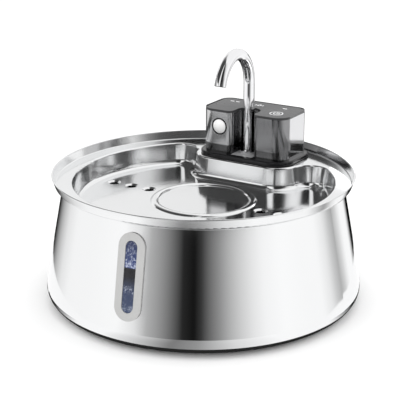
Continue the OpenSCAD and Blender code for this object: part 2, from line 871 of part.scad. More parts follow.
module control_board() {
    top = board_t;
    color("darkgreen") translate([0, cell_y, board_z]) {
        translate([-board_w / 2, -board_l / 2, 0]) cube([board_w, board_l, board_t]);
        translate([-30, -4, top]) cube([8, 8, 1]);
        translate([-16, -3, top]) cube([5, 6, 1.2]);
        translate([14, -6, top]) cube([10, 7, 4]);
        for (x = [8, 28]) translate([x, 3, top]) cylinder(r = 2, h = 3.4);
    }
}

module battery_cell() {
    color("steelblue") translate([-cell_l / 2, cell_y, cell_z]) rotate([0, 90, 0]) {
        cylinder(r = cell_r, h = cell_l - 1);
        translate([0, 0, cell_l - 1]) cylinder(r = 3, h = 1);
    }
}

// Two cradles that hold the cell off the base
module battery_saddles() {
    color("dimgray") difference() {
        for (x = [-1, 1]) translate([x * 22 - 3, cell_y - cell_r + 0.6, deck_z])
            cube([6, 2 * cell_r - 1.2, cell_gap + cell_r - 3]);
        translate([-cell_l, cell_y, cell_z]) rotate([0, 90, 0])
            cylinder(r = cell_r + running, h = 2 * cell_l);
    }
}

module usb_socket() {
    color("silver") translate([0, housing_back - housing_wall + 1, port_z]) rotate([90, 0, 0])
        difference() {
            linear_extrude(usb_l) rotate(90) stadium(usb_h, usb_w);
            translate([0, 0, -1]) linear_extrude(usb_l) difference() {
                rotate(90) stadium(usb_h - 0.7, usb_w - 0.7);
                square([usb_w - 3, 0.7], center = true);
            }
        }
}

// Silicone flap over the charging port, with a short plug and a round top edge that it turns on
module usb_cover() {
    flap_w = 14;
    flap_h = 9.4;
    color([0.1, 0.1, 0.11]) {
        translate([-flap_w / 2, usb_hinge_y, usb_hinge_z]) rotate([0, 90, 0])
            cylinder(r = usb_cover_t / 2, h = flap_w);
        translate([0, usb_hinge_y + usb_cover_t / 2, usb_hinge_z]) rotate([90, 0, 0])
            linear_extrude(usb_cover_t)
                difference() {
                    translate([0, -flap_h / 2]) plate(flap_w, flap_h, 1.5);
                    translate([0, flap_h / 2]) square([2 * flap_w, flap_h], center = true);
                }
        translate([0, usb_hinge_y, port_z]) rotate([90, 0, 0])
            linear_extrude(usb_cover_t / 2 + 0.8) rotate(90) stadium(port_h - 1, port_w - 0.8);
    }
}

// ---- Faucet ----

function seal_heights() = [flange_z - 6, flange_z - 2.5];

// Gooseneck: riser, bend and a shoulder ring that rests on the base's socket
module faucet_tube() {
    low = socket_z + socket_floor + 0.4;
    color("gainsboro") translate([0, tube_y, 0]) rotate(faucet_turn) {
        translate([0, 0, low]) difference() {
            cylinder(r = tube_r, h = bend_z - low);
            translate([0, 0, -1]) cylinder(r = tube_r - tube_wall, h = bend_z - low + 2);
        }
        translate([0, -bend_r, bend_z]) rotate([90, 0, 90]) rotate_extrude(angle = bend_angle)
            translate([bend_r, 0]) difference() {
                circle(tube_r);
                circle(tube_r - tube_wall);
            }
        translate([0, 0, deck_z + socket_rise]) difference() {
            cylinder(r = collar_r, h = collar_h);
            translate([0, 0, -1]) cylinder(r = tube_r - tube_wall / 2, h = collar_h + 2);
        }
    }
}

// Two O-rings that seal the tube and let it swivel
module faucet_seals() {
    color("dimgray") for (z = seal_heights()) translate([0, tube_y, z]) rotate_extrude()
        translate([tube_r + running + seal_ring_r, 0]) circle(seal_ring_r);
}

module outlet_hose() {
    color("whitesmoke") translate([0, tube_y, hose_z]) difference() {
        cylinder(r = hose_r, h = socket_z - hose_z);
        translate([0, 0, -1]) cylinder(r = spigot_r + running, h = socket_z - hose_z + 2);
    }
}

// ---- Pump ----

module at_contacts() {
    for (x = [-1, 1]) translate([x * 2.6, pump_y, 0]) children();
}

module pump_body() {
    duct_w = 2 * spigot_r;
    channel = 2 * outlet_bore_r;
    roof = chamber_z + chamber_h - pump_wall;
    color([0.14, 0.14, 0.15]) difference() {
        union() {
            translate([0, pump_y, chamber_z]) cylinder(r = chamber_r, h = chamber_h);
            translate([0, pump_y, motor_z]) cylinder(r = motor_r, h = motor_h);
            translate([0, pump_y, motor_top]) cylinder(r = stem_r, h = stem_top - motor_top);
            translate([-duct_w / 2, tube_y, chamber_z]) cube([duct_w, pump_y - tube_y, chamber_h]);
            translate([0, tube_y, chamber_z]) cylinder(r = spigot_r, h = spigot_top - chamber_z);
        }
        translate([0, pump_y, chamber_z - 1]) cylinder(r = chamber_r - pump_wall, h = roof - chamber_z + 1);
        translate([0, pump_y, chamber_z]) cylinder(r = rotor_r + 0.3, h = chamber_h + rotor_h + 1);
        translate([0, pump_y, motor_z]) cylinder(r = shaft_r + running, h = motor_h - 0.6);
        translate([-channel / 2, tube_y, chamber_z + pump_wall])
            cube([channel, pump_y - tube_y - shaft_r, chamber_h - 2 * pump_wall]);
        translate([0, tube_y, chamber_z + pump_wall])
            cylinder(r = outlet_bore_r, h = spigot_top - chamber_z);
        translate([0, pump_y, flange_z - 5]) rotate_extrude()
            translate([stem_r - 2 * stem_seal_r - 0.1, -stem_seal_r - 0.1])
                square([2 * stem_seal_r + 1, 2 * stem_seal_r + 0.2]);
        at_contacts() translate([0, 0, stem_top - 4]) cylinder(r = 0.8, h = 9);
    }
}

// Lid of the impeller's chamber: a ring, a hub for the shaft and four spokes
module pump_cover() {
    inlet_r = 6;
    hub_r = 2.8;
    spoke = [2 * inlet_r + 1, 1.2];
    color([0.2, 0.2, 0.22]) translate([0, pump_y, pump_z]) difference() {
        linear_extrude(pump_cover_t) {
            difference() {
                circle(chamber_r);
                circle(inlet_r);
            }
            circle(hub_r);
            square(spoke, center = true);
            square([spoke[1], spoke[0]], center = true);
        }
        translate([0, 0, 1]) cylinder(r = 2.2, h = pump_cover_t);
    }
}

module pump_contacts() {
    color("gold") at_contacts() translate([0, 0, stem_top - 3.5])
        cylinder(r = 0.75, h = deck_z + 0.8 - stem_top + 3.5);
}

module stem_seal() {
    color("dimgray") translate([0, pump_y, flange_z - 5]) rotate_extrude()
        translate([stem_r - stem_seal_r, 0]) circle(stem_seal_r);
}

// Plastic hub with a disc and straight vanes below it
module impeller() {
    disc_z = chamber_z + vane_h + 0.4;
    color("ivory") translate([0, pump_y, 0]) difference() {
        union() {
            translate([0, 0, disc_z]) cylinder(r = impeller_r, h = 1.4);
            translate([0, 0, chamber_z + 0.4]) cylinder(r = 3.2, h = motor_z + rotor_h - chamber_z - 0.4);
            for (i = [0 : vane_count - 1]) rotate(i * 360 / vane_count)
                translate([2, -0.6, chamber_z + 0.4]) cube([impeller_r - 2.4, 1.2, vane_h + 0.2]);
        }
        cylinder(r = shaft_r + running, h = 3 * bowl_h);
    }
}

module rotor_magnet() {
    low = chamber_z + vane_h + 1.8;
    color("dimgray") translate([0, pump_y, low]) difference() {
        cylinder(r = rotor_r, h = motor_z + rotor_h - low);
        translate([0, 0, -1]) cylinder(r = 3.2, h = motor_z + rotor_h - low + 2);
    }
}

module impeller_shaft() {
    color("white") translate([0, pump_y, pump_z + 1])
        cylinder(r = shaft_r, h = motor_z + motor_h - pump_z - 2);
}

// Rubber bushes that hold the shaft's two ends
module shaft_bushes() {
    color("black") translate([0, pump_y, 0]) {
        translate([0, 0, pump_z + 1]) bush(2.15, pump_cover_t - 1.1);
        translate([0, 0, motor_z + rotor_h + 0.2]) bush(rotor_r + 0.25, 0.7);
    }
}

module bush(r, h) {
    difference() {
        cylinder(r = r, h = h);
        translate([0, 0, -1]) cylinder(r = shaft_r + 0.02, h = h + 2);
    }
}

// ---- Filter box ----

// Open box with slots near its foot and in its floor, and a rim that plugs into the skirt
module filter_box() {
    plug_w = skirt_w - 2 * skirt_wall - 2 * loose;
    plug_l = skirt_l - 2 * skirt_wall - 2 * loose;
    plug_r = skirt_r - skirt_wall - loose;
    inner_w = plug_w - 2 * box_wall;
    inner_l = plug_l - 2 * box_wall;
    inner_r = plug_r - box_wall;
    pitch = (inner_w - 2 * inner_r) / (slot_count - 1);
    slot_h = carbon_t + foam_t;
    color([0.75, 0.76, 0.78]) translate([0, opening_y, 0]) difference() {
        union() {
            translate([0, 0, box_z]) linear_extrude(box_h) plate(skirt_w, skirt_l, skirt_r);
            translate([0, 0, skirt_z - 1]) linear_extrude(skirt_depth - 0.5) plate(plug_w, plug_l, plug_r);
        }
        translate([0, 0, box_z + box_floor]) linear_extrude(box_h + skirt_depth)
            plate(inner_w, inner_l, inner_r);
        for (i = [0 : slot_count - 1]) translate([(i - (slot_count - 1) / 2) * pitch, 0, 0]) {
            translate([0, 0, box_z + box_floor + 2 + slot_h / 2]) rotate([90, 0, 0])
                linear_extrude(2 * skirt_l, center = true) stadium(slot_w, slot_h);
            translate([0, 0, box_z - 1]) linear_extrude(box_floor + 2) stadium(slot_w, inner_l - 8);
        }
    }
}

// Pad that fills the filter box's plan
module filter_pad(z, t) {
    gap = skirt_wall + box_wall + 2 * loose;
    translate([0, opening_y, z]) linear_extrude(t)
        plate(skirt_w - 2 * gap, skirt_l - 2 * gap, skirt_r - gap);
}

module carbon_filter() {
    color("dimgray") filter_pad(box_z + box_floor, carbon_t);
}

module foam_filter() {
    color("khaki") filter_pad(box_z + box_floor + carbon_t, foam_t);
}

reservoir_bowl();
foot_pads();
window_bezel();
window_lens();
window_seal();
window_clamp();
window_screws();
drinking_tray();
unit_base();
base_gasket();
housing_shell();
top_cover();
base_screws();
sensor_dome();
motion_sensor();
touch_board();
control_board();
battery_cell();
battery_saddles();
usb_socket();
usb_cover();
faucet_tube();
faucet_seals();
outlet_hose();
pump_body();
pump_cover();
pump_contacts();
stem_seal();
impeller();
rotor_magnet();
impeller_shaft();
shaft_bushes();
filter_box();
carbon_filter();
foam_filter();
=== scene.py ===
import json
import math

import bmesh
import bpy
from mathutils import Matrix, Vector


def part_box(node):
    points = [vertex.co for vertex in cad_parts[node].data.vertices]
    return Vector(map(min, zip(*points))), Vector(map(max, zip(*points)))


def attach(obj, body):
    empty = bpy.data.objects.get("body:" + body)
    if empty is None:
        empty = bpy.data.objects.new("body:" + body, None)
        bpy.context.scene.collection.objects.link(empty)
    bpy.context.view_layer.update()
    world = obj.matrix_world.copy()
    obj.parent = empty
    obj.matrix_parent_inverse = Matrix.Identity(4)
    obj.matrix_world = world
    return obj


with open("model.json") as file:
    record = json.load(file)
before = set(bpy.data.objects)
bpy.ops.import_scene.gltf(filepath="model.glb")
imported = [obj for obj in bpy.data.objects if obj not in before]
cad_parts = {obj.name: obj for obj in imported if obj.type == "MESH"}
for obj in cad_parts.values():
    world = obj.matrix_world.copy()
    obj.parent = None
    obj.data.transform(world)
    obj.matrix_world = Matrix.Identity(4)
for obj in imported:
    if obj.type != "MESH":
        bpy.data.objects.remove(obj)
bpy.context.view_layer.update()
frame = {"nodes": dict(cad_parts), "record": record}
NODES = frame["nodes"]


scene = bpy.context.scene
MM = 0.001
AZIMUTH = 31.5   # the camera's, in degrees round from the unit's front

# The housing's plan, in millimetres as in the CAD, and its box
CORNER_R = 12.0
BACK_R = 9.0
MOUTH_R = 5.0
CHANNEL_HALF = 10.5
CHANNEL_DEPTH = 21.9
shell_low, shell_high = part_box("housing_shell")


def new_object(name, data):
    """An object with its data, put in the scene."""
    o = bpy.data.objects.new(name, data)
    scene.collection.objects.link(o)
    return o


def grid_mesh(name, grids, closed=False):
    """A mesh of grids of points: each grid is a list of equal rows, and a closed one joins end to start."""
    mesh = bpy.data.meshes.new(name)
    bm = bmesh.new()
    for grid in grids:
        rows = [[bm.verts.new(point) for point in row] for row in grid]
        ends = rows[:1] if closed else []
        for a, b in zip(rows, rows[1:] + ends):
            for i in range(len(a) - 1):
                bm.faces.new((a[i], a[i + 1], b[i + 1], b[i]))
    bmesh.ops.recalc_face_normals(bm, faces=bm.faces)
    bm.to_mesh(mesh)
    bm.free()
    return mesh


# ---- Node helpers ----

def add(t, kind, **values):
    """A new node with its settings."""
    n = t.nodes.new(kind)
    for k, v in values.items():
        setattr(n, k, v)
    return n


def empty_material(name):
    """A material that has only its output node."""
    m = bpy.data.materials.new(name)
    m.use_nodes = True
    m.node_tree.nodes.clear()
    return m, m.node_tree, add(m.node_tree, "ShaderNodeOutputMaterial")


def new_material(name):
    """A material with a Principled shader and nothing on it yet."""
    m, t, out = empty_material(name)
    bsdf = add(t, "ShaderNodeBsdfPrincipled")
    t.links.new(bsdf.outputs["BSDF"], out.inputs["Surface"])
    return m, t, bsdf


def position(t):
    """Where the surface is, in metres: the whole vector, and its X, Y and Z."""
    place = add(t, "ShaderNodeTexCoord").outputs["Object"]
    split = add(t, "ShaderNodeSeparateXYZ")
    t.links.new(place, split.inputs["Vector"])
    return place, split.outputs


def noise(t, scale, detail=3.0, stretch=(1, 1, 1)):
    """Noise over the surface, drawn out along the axes by the stretch."""
    place = add(t, "ShaderNodeTexCoord")
    mapping = add(t, "ShaderNodeMapping")
    mapping.inputs["Scale"].default_value = stretch
    t.links.new(place.outputs["Object"], mapping.inputs["Vector"])
    n = add(t, "ShaderNodeTexNoise")
    n.inputs["Scale"].default_value = scale
    n.inputs["Detail"].default_value = detail
    t.links.new(mapping.outputs["Vector"], n.inputs["Vector"])
    return n.outputs["Fac"]


def remap(t, source, low, high, lo_in=0.3, hi_in=0.7):
    """A value carried from one span to another. Noise mostly lies between 0.3 and 0.7."""
    r = add(t, "ShaderNodeMapRange")
    r.inputs["From Min"].default_value = lo_in
    r.inputs["From Max"].default_value = hi_in
    r.inputs["To Min"].default_value = low
    r.inputs["To Max"].default_value = high
    t.links.new(source, r.inputs["Value"])
    return r.outputs["Result"]


def rise(t, source, span):
    """0 before the span and 1 after it."""
    return remap(t, source, 0, 1, *span)


def fall(t, source, span):
    """1 before the span and 0 after it."""
    return remap(t, source, 1, 0, *span)


def combine(t, operation, *sources):
    """One value from several, each next one joined on by the same operation."""
    total = sources[0]
    for source in sources[1:]:
        n = add(t, "ShaderNodeMath", operation=operation)
        t.links.new(total, n.inputs[0])
        t.links.new(source, n.inputs[1])
        total = n.outputs[0]
    return total


def blend_colour(t, factor, a, b):
    """From colour a to colour b; a may be a socket."""
    m = add(t, "ShaderNodeMix", data_type="RGBA")
    if isinstance(a, tuple):
        m.inputs["A"].default_value = (*a, 1)
    else:
        t.links.new(a, m.inputs["A"])
    m.inputs["B"].default_value = (*b, 1)
    t.links.new(factor, m.inputs["Factor"])
    return m.outputs["Result"]


def colour_ramp(t, factor, stops):
    """Colour by a factor, from (place, colour) stops that start at 0 and end at 1."""
    ramp = add(t, "ShaderNodeValToRGB")
    t.links.new(factor, ramp.inputs["Fac"])
    marks = ramp.color_ramp.elements
    marks[0].color = (*stops[0][1], 1)
    marks[1].color = (*stops[-1][1], 1)
    for at, colour in stops[1:-1]:
        marks.new(at).color = (*colour, 1)
    return ramp.outputs["Color"]


def bump(t, bsdf, source, distance):
    """Fine relief that follows a value, as deep as the distance in metres."""
    b = add(t, "ShaderNodeBump")
    b.inputs["Distance"].default_value = distance
    t.links.new(source, b.inputs["Height"])
    t.links.new(b.outputs["Normal"], bsdf.inputs["Normal"])


# ---- Materials ----

def surface(name, colour, rough, metal=0.0, vary=0.06, rough_vary=0.04, scale=40.0, grain=600.0,
            grain_h=0.00001, stretch=(1, 1, 1), ior=1.45, specular=0.5, see=0.0, glow=0.0):
    """Colour, roughness and bump that all vary, with light wear in the noise."""
    m, t, bsdf = new_material(name)
    wide = noise(t, scale, 3.0, stretch)
    fine = noise(t, grain, 2.0, stretch)
    dark = tuple(max(c * (1 - vary), 0) for c in colour)
    light = tuple(min(c * (1 + vary), 1) for c in colour)
    t.links.new(blend_colour(t, remap(t, wide, 0, 1), dark, light), bsdf.inputs["Base Color"])
    t.links.new(remap(t, wide, max(rough - rough_vary, 0.01), rough + rough_vary), bsdf.inputs["Roughness"])
    bump(t, bsdf, fine, grain_h)
    bsdf.inputs["Metallic"].default_value = metal
    bsdf.inputs["IOR"].default_value = ior
    bsdf.inputs["Specular IOR Level"].default_value = specular
    bsdf.inputs["Transmission Weight"].default_value = see
    # A glow is painted light: the surface gives off light of its own colour though it is no lamp
    if glow:
        bsdf.inputs["Emission Color"].default_value = (*colour, 1)
        bsdf.inputs["Emission Strength"].default_value = glow
    return m


DRAWN_STEEL = dict(colour=(0.86, 0.865, 0.87), metal=1.0, vary=0.015, rough_vary=0.02, grain_h=0.000001)
FINISHES = {
    "bowl_steel": dict(DRAWN_STEEL, rough=0.075, scale=14, grain=900, stretch=(1, 1, 0.05)),
    "tray_steel": dict(DRAWN_STEEL, rough=0.12, scale=18, grain=700),
    "foot_silicone": dict(colour=(0.05, 0.05, 0.052), rough=0.6),
    "window_frame": dict(colour=(0.44, 0.44, 0.435), rough=0.32, vary=0.03),
    "white_silicone": dict(colour=(0.78, 0.78, 0.77), rough=0.55),
    "black_rubber": dict(colour=(0.012, 0.012, 0.013), rough=0.5),
    "screw_steel": dict(colour=(0.6, 0.6, 0.61), rough=0.3, metal=1.0),
    "cover_grey": dict(colour=(0.050, 0.050, 0.052), rough=0.28, ior=1.33),
    # The dome's glow is painted light: it gives off light though it is no lamp
    "dome_white": dict(colour=(0.86, 0.86, 0.855), rough=0.35, vary=0.02, glow=0.08),
    "sensor_can": dict(colour=(0.55, 0.53, 0.46), rough=0.3, metal=1.0),
    "circuit_board": dict(colour=(0.02, 0.11, 0.05), rough=0.35, vary=0.15),
    "battery_can": dict(colour=(0.08, 0.20, 0.42), rough=0.35),
    "black_plastic": dict(colour=(0.018, 0.018, 0.019), rough=0.42, vary=0.1),
    "socket_steel": dict(colour=(0.6, 0.6, 0.61), rough=0.3, metal=1.0),
    "faucet_chrome": dict(colour=(0.88, 0.88, 0.89), rough=0.05, metal=1.0, vary=0.01, rough_vary=0.015,
                          scale=30, grain=500, grain_h=0.000001),
    "contact_brass": dict(colour=(0.80, 0.58, 0.22), rough=0.25, metal=1.0),
    "impeller_plastic": dict(colour=(0.75, 0.72, 0.62), rough=0.45),
    "magnet_ferrite": dict(colour=(0.05, 0.05, 0.052), rough=0.55, metal=0.3),
    "shaft_steel": dict(colour=(0.72, 0.72, 0.73), rough=0.2, metal=1.0),
    "box_plastic": dict(colour=(0.42, 0.44, 0.47), rough=0.3, see=0.25),
    "carbon_cloth": dict(colour=(0.02, 0.02, 0.022), rough=0.9, vary=0.3, grain=2500, grain_h=0.0002),
    "foam_cloth": dict(colour=(0.55, 0.50, 0.36), rough=0.9, vary=0.2, grain=1800, grain_h=0.0003),
}

# The lens from its foot (0) to its top (1): its own colour, and how strongly threads of foam show
LENS_END = 3 * MM   # left out at each end
LENS_COLOURS = [(0, (0.030, 0.048, 0.105)), (0.30, (0.024, 0.036, 0.085)), (0.45, (0.014, 0.018, 0.032)),
                (0.52, (0.006, 0.006, 0.009)), (0.638, (0.005, 0.005, 0.007)), (0.648, (0.036, 0.056, 0.17)),
                (0.80, (0.022, 0.038, 0.12)), (1, (0.012, 0.020, 0.070))]
LENS_FOAM = [(0, 0.45), (0.08, 0.25), (0.16, 0.03), (0.26, 0.08), (0.33, 0.5), (0.40, 0.05), (0.46, 0.0),
             (0.64, 0.0), (0.65, 0.95), (0.78, 0.85), (0.88, 0.35), (1, 0.25)]
FOAM_COLOUR = (0.80, 0.86, 1.0)


def foam_threads(t, place, wave):
    """Thin crooked lines, in patches."""
    cells = add(t, "ShaderNodeTexVoronoi", feature="DISTANCE_TO_EDGE")
    cells.inputs["Scale"].default_value = 330
    bend = add(t, "ShaderNodeVectorMath", operation="MULTIPLY_ADD")
    t.links.new(wave, bend.inputs[0])
    bend.inputs[1].default_value = (0.03, 0.03, 0.05)
    t.links.new(place, bend.inputs[2])
    t.links.new(bend.outputs["Vector"], cells.inputs["Vector"])
    lines = fall(t, cells.outputs["Distance"], (0.0, 0.12))
    patches = rise(t, noise(t, 300), (0.40, 0.54))
    return combine(t, "MULTIPLY", lines, patches)


def lens_material():
    """Blue window with a dark water line across the middle, foam above it and wisps below."""
    m, t, bsdf = new_material("window_lens")
    low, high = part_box("window_lens")
    place, axes = position(t)
    height = rise(t, axes["Z"], (low.z + LENS_END, high.z - LENS_END))
    wave = noise(t, 120, 4.0)
    threads = foam_threads(t, place, wave)
    where = colour_ramp(t, height, [(at, (v, v, v)) for at, v in LENS_FOAM])
    water = colour_ramp(t, height, LENS_COLOURS)
    colour = blend_colour(t, combine(t, "MULTIPLY", threads, where), water, FOAM_COLOUR)
    t.links.new(colour, bsdf.inputs["Base Color"])
    t.links.new(remap(t, wave, 0.06, 0.14), bsdf.inputs["Roughness"])
    bump(t, bsdf, threads, 0.00006)
    return m


def gloss_finish(t, bsdf, wide, rough):
    """Roughness and fine grain of glossy moulded plastic."""
    t.links.new(remap(t, wide, *rough), bsdf.inputs["Roughness"])
    bump(t, bsdf, noise(t, 600, 2.0), 0.00001)


# Where the painted sheen and the painted dark reflection at the housing's foot fade in and out: (start, end)
# of each change
PAINTED_SHEEN_SPAN = (-22 * MM, 12 * MM)
FOOT_REFLECTION_TOP = (shell_low.z + 6.8 * MM, shell_low.z + 7.8 * MM)
FOOT_REFLECTION_END = (shell_high.x - 7.5 * MM, shell_high.x - 3.5 * MM)


def gloss_material():
    """Black gloss plastic, with a painted sheen that makes the sensor's side lighter, and a band at the foot
    darkened by a painted reflection of the black base.
    """
    m, t, bsdf = new_material("housing_gloss")
    axes = position(t)[1]
    wide = noise(t, 40)
    # Painted sheen: lighter towards the sensor's side, with random tone from the noise
    painted_sheen = combine(t, "ADD", remap(t, wide, -0.06, 0.06), fall(t, axes["X"], PAINTED_SHEEN_SPAN))
    wall = blend_colour(t, painted_sheen, (0.27, 0.27, 0.275), (0.62, 0.62, 0.625))
    # Painted dark reflection of the base along the housing's foot, fading out towards the right end
    painted_foot_reflection = combine(t, "MULTIPLY", fall(t, axes["Z"], FOOT_REFLECTION_TOP), fall(t, axes["X"], FOOT_REFLECTION_END))
    t.links.new(blend_colour(t, painted_foot_reflection, wall, (0.12, 0.12, 0.122)), bsdf.inputs["Base Color"])
    gloss_finish(t, bsdf, wide, (0.10, 0.16))
    bsdf.inputs["Metallic"].default_value = 1.0
    return m


# Where the deck turns lighter grey round the faucet's foot: its sides lie just inside the channel between the
# lobes
GREY_PATCH_SIDE = ((CHANNEL_HALF - 0.4) * MM, (CHANNEL_HALF - 0.1) * MM)
GREY_PATCH_FRONT = (shell_low.y - 1.2 * MM, shell_low.y)
GREY_PATCH_BACK = (shell_low.y + 27 * MM, shell_low.y + 28 * MM)


def base_material():
    """Near-black gloss, turning a lighter grey round the faucet's foot between the housing's lobes."""
    m, t, bsdf = new_material("base_finish")
    axes = position(t)[1]
    off = add(t, "ShaderNodeMath", operation="ABSOLUTE")
    t.links.new(axes["X"], off.inputs[0])
    wide = noise(t, 60)
    grey_patch = combine(t, "MULTIPLY", fall(t, off.outputs[0], GREY_PATCH_SIDE), rise(t, axes["Y"], GREY_PATCH_FRONT),
                   fall(t, axes["Y"], GREY_PATCH_BACK), remap(t, wide, 0.85, 1.0))
    t.links.new(blend_colour(t, grey_patch, (0.010, 0.010, 0.011), (0.36, 0.36, 0.37)), bsdf.inputs["Base Color"])
    gloss_finish(t, bsdf, wide, (0.11, 0.17))
    bsdf.inputs["IOR"].default_value = 1.38
    return m


MATERIALS = {name: surface(name, **finish) for name, finish in FINISHES.items()}
MATERIALS["window_lens"] = lens_material()
MATERIALS["base_gloss"] = base_material()
MATERIALS["black_gloss"] = gloss_material()
for part in frame["record"]["subparts"]:
    node = NODES[part["node"]]
    node.data.materials.clear()
    slot = "base_gloss" if part["node"] == "unit_base" else part["material_slot"]
    node.data.materials.append(MATERIALS[slot])


# ---- Marks on the top cover, in millimetres from its middle: printed icons, and a painted dark reflection along its edge ----

cover_low, cover_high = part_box("top_cover")
cover_middle = (cover_low + cover_high) / 2
# White print, with a painted glow that makes it brighter than the lamps alone would
print_and_painted_glow = surface("print_and_painted_glow", (0.86, 0.86, 0.87), 0.5, vary=0.05, glow=0.25)
# Near-black paint for the edge line: a painted dark reflection of the cover's rounded edge, along the back
# and left side only
painted_dark_edge = surface("painted_dark_edge", (0.02, 0.02, 0.021), 0.7, vary=0.1, ior=1.02)
PRINT_AND_REFLECTION_T = 0.00006


def print_and_painted_reflection_on_top(name, strips, at=(0, 0), paint=print_and_painted_glow):
    """Thin mark at a place on the cover, for the printed icons and for the painted dark reflection along its
    edge: its strips are rows of (one side, other side) points.
    """
    grids = [[[(cover_middle.x + (at[0] + x) * MM, cover_middle.y + (at[1] + y) * MM, 0) for x, y in pair]
              for pair in strip] for strip in strips]
    obj = new_object(name, grid_mesh(name, grids))
    obj.location.z = cover_high.z
    thick = obj.modifiers.new("thick", "SOLIDIFY")
    thick.thickness = PRINT_AND_REFLECTION_T
    thick.offset = 0
    obj.data.materials.append(paint)
    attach(obj, "unit")


def turn(x, y, r, start, end, steps):
    """Points round an arc, from one angle to another."""
    angles = [math.radians(start + (end - start) * i / steps) for i in range(steps + 1)]
    return [(x + r * math.cos(a), y + r * math.sin(a)) for a in angles]


def arc(r, w, start=0, end=360, steps=48):
    """Strip of width w round the mark's middle."""
    return list(zip(turn(0, 0, r - w / 2, start, end, steps), turn(0, 0, r + w / 2, start, end, steps)))


def bar(x0, y0, x1, y1, w):
    """Straight strip of width w."""
    d = Vector((x1 - x0, y1 - y0)).normalized() * w / 2
    return [[(x0 - d.y, y0 + d.x), (x0 + d.y, y0 - d.x)], [(x1 - d.y, y1 + d.x), (x1 + d.y, y1 - d.x)]]


TURN_STEPS = 12


def cover_outline(inset):
    """The cover's plan drawn in by a distance: left lobe, channel, right lobe, then the back corners."""
    half_x = (cover_high.x - cover_low.x) / 2 / MM - inset
    half_y = (cover_high.y - cover_low.y) / 2 / MM - inset
    corner, back, mouth = CORNER_R - inset, BACK_R - inset, MOUTH_R - inset
    channel = CHANNEL_HALF + inset
    channel_y = -half_y + CHANNEL_DEPTH - channel
    turns = [(-half_x + corner, -half_y + corner, corner, 180, 270),
             (-channel - mouth, -half_y + mouth, mouth, 270, 360),
             (0, channel_y, channel, 180, 0),
             (channel + mouth, -half_y + mouth, mouth, 180, 270),
             (half_x - corner, -half_y + corner, corner, 270, 360),
             (half_x - back, half_y - back, back, 0, 90),
             (-half_x + back, half_y - back, back, 90, 180)]
    return [point for each in turns for point in turn(*each, TURN_STEPS)]


# The painted dark reflection goes from the right back corner along the back and the left side to the left
# lobe's corner
DARK_EDGE_OUT = 0.05
DARK_EDGE_IN = 2.1
CORNER_STEPS = 5   # how many steps into a corner's turn it starts and stops
RIGHT_BACK = 5 * (TURN_STEPS + 1)   # five turns come before this corner's
edge = list(zip(cover_outline(DARK_EDGE_OUT), cover_outline(DARK_EDGE_IN)))
print_and_painted_reflection_on_top("cover_painted_dark_edge", [edge[RIGHT_BACK + CORNER_STEPS:] + edge[:CORNER_STEPS]], paint=painted_dark_edge)

TOUCH_AT = (25.9, -7.716)
STATE_AT = (24.5, 10.484)
LEVEL_AT = (-25.9, 11.184)
FLOW_AT = (-0.3, 9.484)
print_and_painted_reflection_on_top("touch_mark", [arc(5.6, 0.7), arc(2.5, 0.8, 125, 415, 24), bar(0, 0.4, 0, 3.5, 0.9)], TOUCH_AT)
print_and_painted_reflection_on_top("state_mark", [bar(-2.1, 0, 2.1, 0, 1.4)], STATE_AT)
print_and_painted_reflection_on_top("level_marks", [bar(-4.6, 0, -1, 0, 1.2), bar(1, 0, 4.6, 0, 1.2)], LEVEL_AT)
print_and_painted_reflection_on_top("flow_mark", [arc(1.5, 0.7, 150, 390, 24), bar(-1.3, 0.7, 0, 3, 0.7), bar(1.3, 0.7, 0, 3, 0.7),
                           bar(-3.4, -1.2, -3.4, 1.6, 0.8), bar(3.4, -1.2, 3.4, 1.6, 0.8)], FLOW_AT)


# ---- Painted shadow: a dark ring round the sensor's dome, in the gap where shade falls ----

SHADOW_RING_PROFILE = [(6.34, -0.3), (6.36, 0.3), (6.6, 0.45), (7.2, 0.4), (7.5, 0.06), (7.5, -0.3)]
SHADOW_RING_STEPS = 72


def dome_shadow_ring():
    """Turned dark ring on the housing's front, a painted shadow of the gap round the dome: its profile is
    (radius, height off the wall) in millimetres.
    """
    dome_low, dome_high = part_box("sensor_dome")
    middle = (dome_low + dome_high) / 2
    rows = []
    for k in range(SHADOW_RING_STEPS):
        c = math.cos(2 * math.pi * k / SHADOW_RING_STEPS) * MM
        s = math.sin(2 * math.pi * k / SHADOW_RING_STEPS) * MM
        rows.append([(middle.x + r * c, shell_low.y - out * MM, middle.z + r * s) for r, out in SHADOW_RING_PROFILE])
    ring = new_object("dome_shadow_ring", grid_mesh("dome_shadow_ring", [rows], closed=True))
    for face in ring.data.polygons:
        face.use_smooth = True
    ring.data.materials.append(surface("shadow_ring_black", (0.008, 0.008, 0.009), 0.5, vary=0.1, ior=1.2))
    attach(ring, "unit")


dome_shadow_ring()


# ---- Stage: a pale floor, and screens of light that only reflections show ----

TENT_STEPS = 120


def plane(name, size, location, rotation, material):
    """Flat rectangle of the stage."""
    bpy.ops.mesh.primitive_plane_add(size=1, location=location, rotation=rotation)
    o = bpy.context.object
    o.name = name
    o.scale = (size[0], size[1], 1)
    o.data.materials.append(material)
    return o


def only_reflected(o):
    """Leaves it visible in reflections only."""
    o.visible_camera = o.visible_diffuse = o.visible_shadow = o.visible_transmission = False


def light_round(name, stops, strength=1.12):
    """Light that changes round the object: stops are (degrees round from the camera's side, brightness)."""
    m, t, out = empty_material(name)
    glow = add(t, "ShaderNodeEmission")
    place = add(t, "ShaderNodeTexCoord")
    turned = add(t, "ShaderNodeTexGradient", gradient_type="RADIAL")
    t.links.new(place.outputs["Object"], turned.inputs["Vector"])
    grey = colour_ramp(t, turned.outputs["Fac"], [(beta / 360 + 0.5, (v, v, v)) for beta, v in stops])
    t.links.new(grey, glow.inputs["Color"])
    t.links.new(glow.outputs["Emission"], out.inputs["Surface"])
    glow.inputs["Strength"].default_value = strength
    return m


